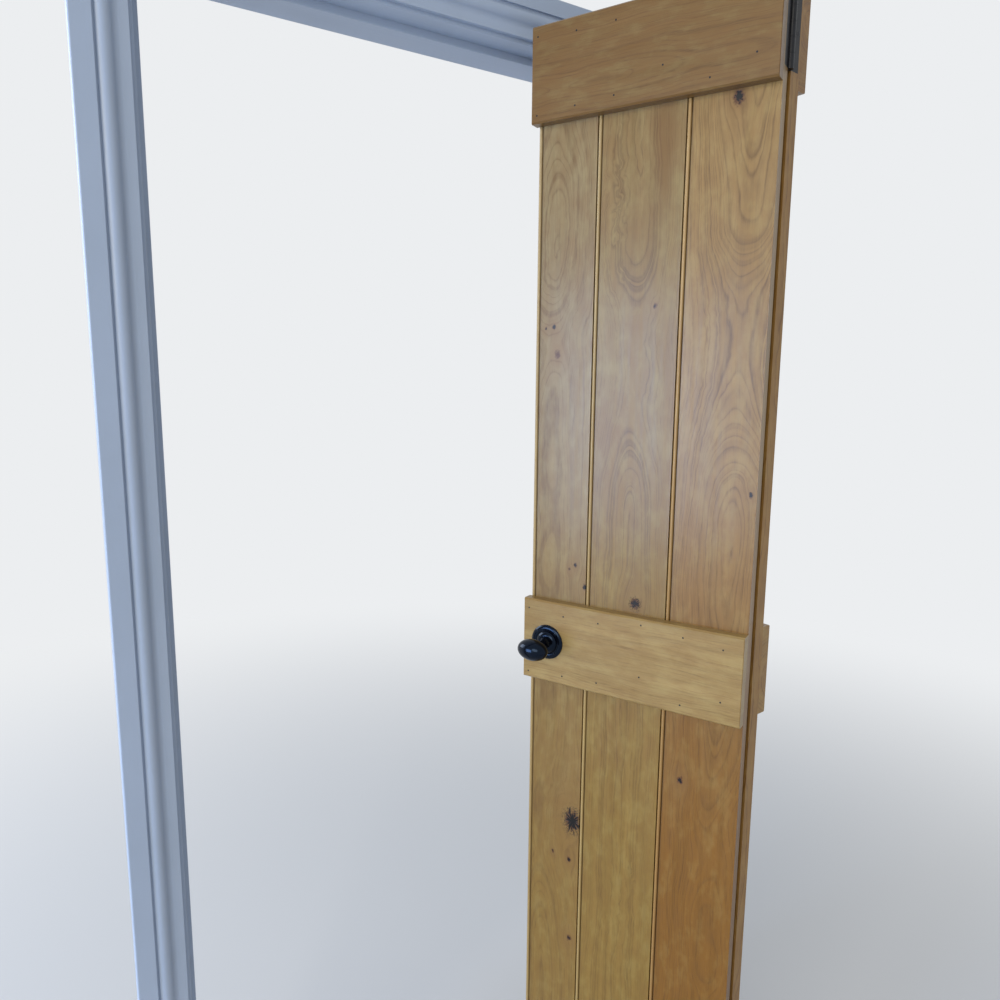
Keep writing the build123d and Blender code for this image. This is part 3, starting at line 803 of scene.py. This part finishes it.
@dataclass
class RoundHead:
    """The head of a screw or brad, drawn as rings from its underside to its middle.

    Attributes:
        radius: Its radius.
        dome: How far its middle stands above its edge.
        proud: How far its edge stands above the seat.
        sunk: How far it goes down into the seat.
        slot_width: Width of its slot, or 0.
        slot_depth: Depth of its slot.
        around: How many points a ring has.
    """

    radius: float
    dome: float
    proud: float
    sunk: float = 0.3
    slot_width: float = 0.0
    slot_depth: float = 0.0
    around: int = 32

    def surface(self) -> tuple[np.ndarray, np.ndarray]:
        """Works out the head around the origin, its seat at Z = 0.

        The height is proud + dome * (1 - (r / radius) squared). In a slotted head the points go down by its
        depth too within a quarter of its width from the X axis, and by less within three quarters.

        Returns:
            Points in millimetres, and the faces.
        """
        share = np.array([
            0.0, 1.0, 1.0, 0.985, 0.93, 0.85, 0.75, 0.65, 0.55, 0.45, 0.35, 0.25, 0.15, 0.07, 0.0,
        ])[:, None]
        angle = np.linspace(0, 2 * np.pi, self.around, endpoint=False)
        x = self.radius * share * np.cos(angle)
        y = self.radius * share * np.sin(angle)
        z = self.proud + self.dome * (1 - share ** 2) + 0 * x
        z[:2] = -self.sunk
        if self.slot_width:
            near = np.clip(1.5 - np.abs(y) / (self.slot_width / 2), 0, 1)
            z[2:] -= near[2:] * self.slot_depth
        points = np.stack([x, y, z], -1).reshape(-1, 3)
        return points, ring_faces(len(share), self.around)


def copies(name: str, base: tuple[np.ndarray, np.ndarray], places: list[Matrix]) -> Object:
    """Puts copies of one small shape at several places, in one object.

    Args:
        name: The object's name.
        base: Points in millimetres and faces.
        places: Where each copy goes, in metres in the row frame.

    Returns:
        The object.
    """
    points, faces = base
    solid = np.concatenate([points * MM, np.ones((len(points), 1))], 1)
    moved = [solid @ np.array(place).T for place in places]
    numbered = [faces + len(points) * index for index in range(len(places))]
    return mesh_object(name, np.concatenate(moved)[:, :3], np.concatenate(numbered))


@dataclass
class Leaf:
    """One leaf: three matchboards and three ledges, nailed with brads.

    Attributes:
        door: The door's sizes.
        body: The body that it is.
        first: First word of its nodes' names.
        boards: The oak of its outer, middle and fold boards.
        ledges: The oak of its top, middle and bottom ledges.
        ledge_centres: The ledges' heights.
        brads_across: Where the brads stand across the leaf.
        lower_row: Heights of the lower row's brads from the ledge's middle.
        upper_row: Heights of the upper row's brads from the ledge's middle.
    """

    door: Door
    body: Body
    first: str
    boards: tuple[LacqueredOak, ...]
    ledges: tuple[LacqueredOak, ...]
    ledge_centres: tuple[float, ...] = (1919.5, 1001.5, 81.5)
    brads_across: tuple[float, ...] = (10.0, 77.2, 142.0, 217.2, 287.0, 350.0)
    lower_row: tuple[float, ...] = (-60.0, -56.0, -53.0, -26.0, -56.0, -36.0)
    upper_row: tuple[float, ...] = (55.0, 50.0, 50.0, 61.0, 54.0, 47.0)

    def dress(self) -> None:
        """Gives each board and ledge its own length of oak."""
        place = leaf_place(self.door, self.body)
        for oak in self.boards + self.ledges:
            dress_nodes(oak.make(place), oak.name)

    def nail(self, iron: Material) -> Object:
        """Sets the brads in two wandering rows on each ledge.

        Args:
            iron: The brads' finish.

        Returns:
            All the leaf's brads.
        """
        head = RoundHead(radius=1.4, dome=0.05, proud=0.1, around=16)
        places = []
        for centre in self.ledge_centres:
            for row in (self.lower_row, self.upper_row):
                for across, up in zip(self.brads_across, row):
                    x = self.door.free_edge + across
                    if self.body is Body.HUNG:
                        x = 2 * self.door.fold[0] - x
                    point = (x, self.door.room_face, centre + up)
                    places.append(self.door.shut(self.body, point, (0, -1, 0)))
        brads = copies(f"{self.first}_brads", head.surface(), places)
        dress(brads, iron)
        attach(brads, self.body.value)
        return brads


@dataclass
class HingeScrews:
    """Three countersunk screws in each flap of the butt hinges, the middle one set nearer the pin.

    Attributes:
        door: The door's sizes.
        hinge_middles: Heights of the hinges' middles.
        pitch: Distance between screws.
        stagger: How far each screw is off the plate's middle line.
        jamb_reach: How far the jamb hinges' flaps reach from the pin.
        fold_reach: How far the fold hinges' flaps reach from the pin.
        knuckle: Radius of the knuckles.
        spins: What turns the slots apart: degrees a screw, a millimetre of height, and from side to side.
    """

    door: Door
    hinge_middles: tuple[float, ...] = (1919.5, 81.5)
    pitch: float = 36.0
    stagger: float = 4.0
    jamb_reach: float = 32.0
    fold_reach: float = 23.0
    knuckle: float = 5.0
    spins: tuple[float, float, float] = (37.0, 0.05, 20.0)

    def places(
        self, body: Body, axis: tuple[float, float], side: int, towards: int, reach: float
    ) -> list[Matrix]:
        """Works out where the screws of the flaps on one side of the pins are.

        Args:
            body: The body that carries the flaps.
            axis: X and Y of the pins.
            side: The side of the pins that the flaps are on, along X.
            towards: The way that the plates reach, along Y.
            reach: How far they reach.

        Returns:
            Places at rest.
        """
        middle = axis[1] + towards * (self.knuckle + reach) / 2
        found = []
        for height in self.hinge_middles:
            for step in (-1, 0, 1):
                y = middle + towards * (-self.stagger if step else self.stagger)
                point = (axis[0] + side * self.door.gap / 2, y, height + step * self.pitch)
                spin = self.spins[0] * step + self.spins[1] * height + self.spins[2] * side
                found.append(self.door.shut(body, point, (-side, 0, 0), spin))
        return found

    def build(self, iron: Material) -> list[Object]:
        """Drives all the screws.

        Args:
            iron: Their finish.

        Returns:
            One object for each set of flaps.
        """
        head = RoundHead(radius=3.6, dome=0.12, proud=0.1, slot_width=0.9, slot_depth=0.45)
        sets = (
            ("jamb_frame_flap_screws", Body.FRAME, self.door.jamb, 1, 1, self.jamb_reach),
            ("jamb_leaf_flap_screws", Body.HUNG, self.door.jamb, -1, 1, self.jamb_reach),
            ("fold_hung_flap_screws", Body.HUNG, self.door.fold, 1, -1, self.fold_reach),
            ("fold_leading_flap_screws", Body.LEADING, self.door.fold, -1, -1, self.fold_reach),
        )
        made = []
        for name, body, axis, side, towards, reach in sets:
            screws = copies(name, head.surface(), self.places(body, axis, side, towards, reach))
            dress(screws, iron)
            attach(screws, body.value)
            made.append(screws)
        return made


@dataclass
class RoseScrews:
    """Four small round-headed screws in the rim of each rose.

    Attributes:
        door: The door's sizes.
        backset: The knobs' distance from the free edge.
        height: The knobs' height.
        circle: Radius of the circle that the screws are on.
        rim: How high the rose's rim stands there.
        turns: Places of the screws round the rose, in degrees.
        spin: How far a slot is turned for each degree of its screw's place.
    """

    door: Door
    backset: float = 47.0
    height: float = 1001.5
    circle: float = 24.2
    rim: float = 3.6
    turns: tuple[float, ...] = (45.0, 135.0, 225.0, 315.0)
    spin: float = 1.7

    def build(self, gloss: Material) -> list[Object]:
        """Drives the screws of both roses.

        Args:
            gloss: Their finish.

        Returns:
            One object for each rose.
        """
        head = RoundHead(radius=2.3, dome=0.7, proud=0.3, slot_width=0.7, slot_depth=0.5)
        x = self.door.free_edge + self.backset
        made = []
        for name, y, out in (
            ("room_rose_screws", self.door.room_face, -1),
            ("hall_rose_screws", self.door.room_face + self.door.thick, 1),
        ):
            places = []
            for turn in self.turns:
                across = x + self.circle * math.cos(math.radians(turn))
                up = self.height + self.circle * math.sin(math.radians(turn))
                point = (across, y + out * self.rim, up)
                places.append(self.door.shut(Body.LEADING, point, (0, out, 0), turn * self.spin))
            screws = copies(name, head.surface(), places)
            dress(screws, gloss)
            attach(screws, Body.LEADING.value)
            made.append(screws)
        return made


@dataclass
class Lining:
    """The painted lining with its architraves and the keep.

    Attributes:
        paint: Its colour, a blue-grey that is painted shade: white satinwood darkened as it stands in shade
            under blue daylight.
        dusty: The same colour a little darker, where dust has settled, with the painted shade in it too.
        stroke: Brush marks a metre along the bristles' way and across it. They are drawn some 2 mm wide,
            coarser than real ones, so that they show.
    """

    # Painted shade: both colours are a blue-grey standing in for white satinwood in shade under blue
    # daylight
    paint: str = "#a5b4ca"
    dusty: str = "#98a7bb"
    stroke: tuple[float, float] = (5.0, 420.0)

    def dress(self, steel: Material) -> None:
        """Paints the timber along its length and leaves the keep as bare steel.

        Args:
            steel: The keep's finish.
        """
        along, across = self.stroke
        uprights = ("latch_jamb", "hinge_jamb", "latch_architrave", "hinge_architrave")
        for way, stroke, timbers in (
            ("upright", (across, across, along), uprights),
            ("across", (along, across, across), ("head_jamb", "head_architrave")),
        ):
            paint = BrushedPaint(f"satinwood_brushed_{way}", self.paint, self.dusty, stroke)
            dress_nodes(paint.make(), *timbers)
        dress_nodes(steel, "keep_plate", "keep_screws")


@dataclass
class Furniture:
    """The hinges, knobs, roses and the bolt with its case.

    Attributes:
        iron: Painted iron of the hinges.
        gloss: Enamel of the knobs and roses.
        steel: Plain steel of the bolt, its wheel and its case.
        bright: Bright steel of the plates.
    """

    iron: Material
    gloss: Material
    steel: Material
    bright: Material

    def dress(self) -> None:
        """Gives each its finish."""
        for where in ("top", "bottom"):
            for part in ("frame_flap", "leaf_flap", "pin"):
                dress_nodes(self.iron, f"jamb_hinge_{where}_{part}")
            for part in ("hung_flap", "leading_flap", "pin"):
                dress_nodes(self.iron, f"fold_hinge_{where}_{part}")
        dress_nodes(self.gloss, "room_knob", "hall_knob", "room_rose", "hall_rose")
        dress_nodes(self.steel, "bolt", "bolt_pinion", "bolt_case", "bolt_case_cover")
        dress_nodes(self.steel, "knob_spindle", "grub_screws")
        dress_nodes(self.bright, "bolt_faceplate", "faceplate_screws")


@dataclass
class Studio:
    """Floor, lamps and camera.

    Attributes:
        floor: The floor's colour.
        background: What the camera sees beyond it.
        half_floor: Half the floor's width in metres.
        foot: The middle of the door's foot, in metres.
        fade: How far from there the floor starts and ends to fade into the background, in metres.
        air: Colour and strength of the light from all round.
    """

    floor: str = "#d6d8da"
    background: str = "#eceef0"
    half_floor: float = 9.0
    foot: tuple[float, float, float] = (0.4, -0.2, 0.0)
    fade: tuple[float, float] = (1.0, 3.8)
    air: tuple[str, float] = ("#e9edf2", 0.6)

    def seen(self, tree: NodeTree) -> NodeSocket:
        """Adds what is 1 for a ray that shows the background, looked at, mirrored or seen through.

        Args:
            tree: The tree that needs it.

        Returns:
            A socket that is 1 or 0.
        """
        path = add(tree, "LightPath", output=None)
        rays = 0.0
        for kind in ("Is Camera Ray", "Is Glossy Ray", "Is Transmission Ray"):
            rays = add(tree, "Math:MAXIMUM", (rays, path.outputs[kind]))
        return rays

    def lay_floor(self) -> None:
        """Lays a flat pale floor, to the eye matt and even, that fades into the background far out."""
        side = np.linspace(-self.half_floor, self.half_floor, 3)
        x, y = np.meshgrid(side, side, indexing="ij")
        points = np.stack([x, y, np.zeros_like(x)], -1).reshape(-1, 3)
        faces = np.array([[0, 3, 4, 1], [1, 4, 5, 2], [3, 6, 7, 4], [4, 7, 8, 5]])
        floor = mesh_object("floor", points, faces, smooth=False)
        material, tree = new_material("matt_pale_floor")
        place = add(tree, "TexCoord", output="Object")
        away = add(tree, "VectorMath:DISTANCE", (place, self.foot), output="Value")
        fade = add(tree, "MapRange", (away, *self.fade), interpolation_type="SMOOTHSTEP")
        fade = add(tree, "Math:MULTIPLY", (fade, self.seen(tree)))
        laid = add(tree, "BsdfPrincipled", {"Base Color": linear(self.floor), "Roughness": 0.85})
        air = add(tree, "Emission", {"Color": linear(self.background), "Strength": 1.0})
        shader = add(tree, "MixShader", (fade, laid, air))
        add(tree, "OutputMaterial", {"Surface": shader}, output=None)
        dress(floor, material)

    def light(self) -> None:
        """Hangs soft lamps and fills the air with even pale light."""
        world = bpy.data.worlds.new("studio_air")
        bpy.context.scene.world = world
        world.use_nodes = True
        tree = world.node_tree
        tree.nodes.clear()
        air = add(tree, "Background", {"Color": linear(self.air[0]), "Strength": self.air[1]})
        seen = add(tree, "Background", {"Color": linear(self.background), "Strength": 1.0})
        mixed = add(tree, "MixShader", (self.seen(tree), air, seen))
        add(tree, "OutputWorld", {"Surface": mixed}, output=None)
        # Name, place and aim in metres, size in metres, power in watts, colour
        lamps = (
            ("window_left", (-4.62, -0.37, 1.18), (0.6, -0.3, 1.2), (2.2, 2.1), 170.0, "#bcd4fa"),
            ("hall_light", (-3.3, 3.8, 2.9), (0.3, 0.0, 1.2), (2.6, 2.4), 125.0, "#f4f8ff"),
            ("room_fill", (-4.2, -3.3, 2.8), (0.4, -0.3, 1.0), (3.0, 2.6), 130.0, "#fff6ea"),
        )
        for name, place, aim, size, power, colour in lamps:
            lamp = bpy.data.lights.new(name, "AREA")
            lamp.shape = "RECTANGLE"
            lamp.size, lamp.size_y = size
            lamp.energy = power
            lamp.color = linear(colour)[:3]
            holder = bpy.data.objects.new(name, lamp)
            holder.location = place
            holder.rotation_euler = (Vector(aim) - Vector(place)).to_track_quat("-Z", "Y").to_euler()
            holder.visible_camera = False
            bpy.context.scene.collection.objects.link(holder)

    def set_camera(self) -> None:
        """Sets the camera where the photograph was taken from."""
        place = Vector((-154.67, -1189.93, 1448.1)) * MM
        heading, pitch, roll = (math.radians(value) for value in (32.022, 8.947, 0.524))
        focal_px, image_px, sensor_mm = 765.811, 1000, 36.0
        forward_level = Vector((math.sin(heading), math.cos(heading), 0))
        right_level = Vector((math.cos(heading), -math.sin(heading), 0))
        up = Vector((0, 0, 1))
        forward = forward_level * math.cos(pitch) - up * math.sin(pitch)
        lifted = up * math.cos(pitch) + forward_level * math.sin(pitch)
        right = right_level * math.cos(roll) + lifted * math.sin(roll)
        top = lifted * math.cos(roll) - right_level * math.sin(roll)
        camera = bpy.data.cameras.new("camera")
        camera.sensor_width = sensor_mm
        camera.lens = focal_px / image_px * sensor_mm
        camera.clip_start = 0.05
        holder = bpy.data.objects.new("camera", camera)
        turned = Matrix((right, top, -forward)).transposed().to_4x4()
        holder.matrix_world = Matrix.Translation(place) @ turned
        bpy.context.scene.collection.objects.link(holder)
        bpy.context.scene.camera = holder


def leading_oak() -> tuple[tuple[LacqueredOak, ...], tuple[LacqueredOak, ...]]:
    """Chooses the boards and ledges of the leaf that carries the knobs."""
    # Each foot colour is partly the board's own tone and partly painted shade for the lower half catching
    # less sheen
    outer = LacqueredOak(
        "leading_outer_board", "#96845e", "#644929", "#89724b",
        centre=36, deep=14, lean=5, arch=1500, ring=5.6, seed=3.1, bead=6.8, foot="#8e7138",
        knots=(
            Knot(95, 673, 18, 1.35, 0.3, True), Knot(93, 441, 5.5), Knot(57, 601, 3.5), Knot(90, 596, 4.5),
            Knot(88, 1139, 4), Knot(77, 1131, 3), Knot(106, 1103, 4, 1.6, 1.0), Knot(38, 1534, 4, 1.2, 0.9),
            Knot(23, 1532, 2.6, 1.2, 0.8), Knot(46, 1489, 6, 1.3, 0.0),
        ),
        curls=(Curl(45, 1600, 40, 150, 24), Curl(60, 700, 40, 90, 26)),
        rises=(Rise(480, 130, 34), Rise(1575, 80, -38), Rise(1790, 90, 30)),
    )
    middle = LacqueredOak(
        "leading_middle_board", "#8e784a", "#523a1e", "#866a3e",
        centre=180, deep=15, lean=4, arch=1330, ring=6.0, seed=17.7, bead=111.8, foot="#8f7236",
        knots=(Knot(198, 1090, 9, 1.2, 0.1, True), Knot(212, 1560, 4)),
        curls=(Curl(150, 1720, 42, 90, 44), Curl(180, 1500, 50, 90, 20), Curl(190, 560, 40, 120, 26)),
        rises=(Rise(380, 140, -10), Rise(1320, 95, 42), Rise(1590, 100, -36)),
        stains=(Curl(216, 1800, 19, 130, 0.6), Curl(236, 1500, 6, 60, 0.35)),
    )
    # Its bead colour is a painted highlight
    fold = LacqueredOak(
        "leading_fold_board", "#9f8250", "#573c1b", "#8f6f3b",
        centre=344, deep=16, lean=5, arch=1308, ring=5.0, seed=42.3,
        bead=252.8, bead_highlight="#bb9660", foot="#84591c",
        knots=(Knot(323, 1838, 9, 1.5, 0.75), Knot(287, 810, 6), Knot(372, 1284, 4, 1.4, 0.9)),
        curls=(Curl(300, 1500, 40, 160, 14),),
        rises=(Rise(330, 130, 34), Rise(900, 160, -32), Rise(1345, 110, 40), Rise(1665, 110, -36)),
    )
    top = LacqueredOak(
        "leading_top_ledge", "#795e34", "#5f4423", "#76582f",
        centre=1890, deep=34, lean=40, arch=150, ring=5.6, seed=61.0, way=Way.LYING,
    )
    mid = LacqueredOak(
        "leading_middle_ledge", "#a98f5a", "#866a3c", "#9c804c",
        centre=1022, deep=22, lean=50, arch=250, ring=5.4, seed=78.0, way=Way.LYING,
    )
    low = LacqueredOak(
        "leading_bottom_ledge", "#a08044", "#62441f", "#9a743a",
        centre=70, deep=26, lean=-46, arch=120, ring=7.6, seed=91.0, way=Way.LYING,
    )
    return (outer, middle, fold), (top, mid, low)


def hung_oak() -> tuple[tuple[LacqueredOak, ...], tuple[LacqueredOak, ...]]:
    """Chooses the boards and ledges of the leaf that hangs on the jamb."""
    outer = LacqueredOak(
        "hung_outer_board", "#a07c43", "#5b3c19", "#98723c",
        centre=66, deep=16, lean=-6, arch=800, ring=5.8, seed=103.0, bead=6.8,
        knots=(Knot(60, 1480, 6, 1.5, 0.6), Knot(30, 420, 4)),
        rises=(Rise(620, 120, 36), Rise(1250, 110, -30)),
    )
    middle = LacqueredOak(
        "hung_middle_board", "#a4864e", "#5e4220", "#987646",
        centre=165, deep=18, lean=5, arch=1500, ring=6.2, seed=121.0, bead=111.8,
        knots=(Knot(205, 640, 7, 1.3, 0.5),),
        curls=(Curl(170, 1250, 40, 100, 34),),
        rises=(Rise(820, 130, 34), Rise(1640, 110, -32)),
    )
    fold = LacqueredOak(
        "hung_fold_board", "#9e783e", "#5a3b18", "#a27a40",
        centre=300, deep=18, lean=5, arch=1000, ring=5.8, seed=140.0, bead=252.8,
        knots=(Knot(330, 1690, 6, 1.6, 0.8), Knot(290, 1130, 4), Knot(345, 300, 5)),
        rises=(Rise(450, 130, 32), Rise(1420, 120, -30)),
    )
    top = LacqueredOak(
        "hung_top_ledge", "#966f3c", "#60421d", "#8e6834",
        centre=1940, deep=30, lean=-45, arch=200, ring=7.2, seed=155.0, way=Way.LYING,
    )
    mid = LacqueredOak(
        "hung_middle_ledge", "#a88850", "#6c4c24", "#a27e46",
        centre=985, deep=24, lean=50, arch=140, ring=7.0, seed=171.0, way=Way.LYING,
    )
    low = LacqueredOak(
        "hung_bottom_ledge", "#a07c42", "#62441f", "#98743a",
        centre=95, deep=26, lean=48, arch=260, ring=7.4, seed=188.0, way=Way.LYING,
    )
    return (outer, middle, fold), (top, mid, low)


def main() -> None:
    """Builds the door's looks in order and reports each piece."""
    door = Door()
    studio = Studio()
    studio.set_camera()
    iron = BlackFinish("black_painted_iron", "#0d0f14", "#1c1e23", (0.34, 0.52), 0.3, 0.03).make()
    # The enamel's blue reflection tint is painted reflection colour, standing in for blue window light
    gloss = BlackFinish(
        "black_stoved_enamel", "#04050a", "#080910", (0.13, 0.22), 0.46, 0.01, sheen="#86a4cc"
    ).make()
    steel = GroundSteel("ground_mild_steel", "#8d9094", "#6e6253", (40.0, 900.0, 900.0)).make()
    bright = GroundSteel("bright_ground_steel", "#b4b7ba", "#8a7d6b", (900.0, 900.0, 40.0)).make()
    Lining().dress(bright)
    logger.info("lining and keep dressed")
    for body, first, oak in (
        (Body.LEADING, "leading", leading_oak()),
        (Body.HUNG, "hung", hung_oak()),
    ):
        leaf = Leaf(door, body, first, *oak)
        leaf.dress()
        brads = leaf.nail(iron)
        logger.info("%s leaf dressed, %s with %d faces", first, brads.name, len(brads.data.polygons))
    Furniture(iron, gloss, steel, bright).dress()
    for piece in HingeScrews(door).build(iron) + RoseScrews(door).build(gloss):
        logger.info("%s with %d faces", piece.name, len(piece.data.polygons))
    studio.lay_floor()
    studio.light()
    bpy.context.scene.view_settings.view_transform = "Standard"


if __name__ == "__main__":
    logging.basicConfig(level=logging.INFO)
    main()
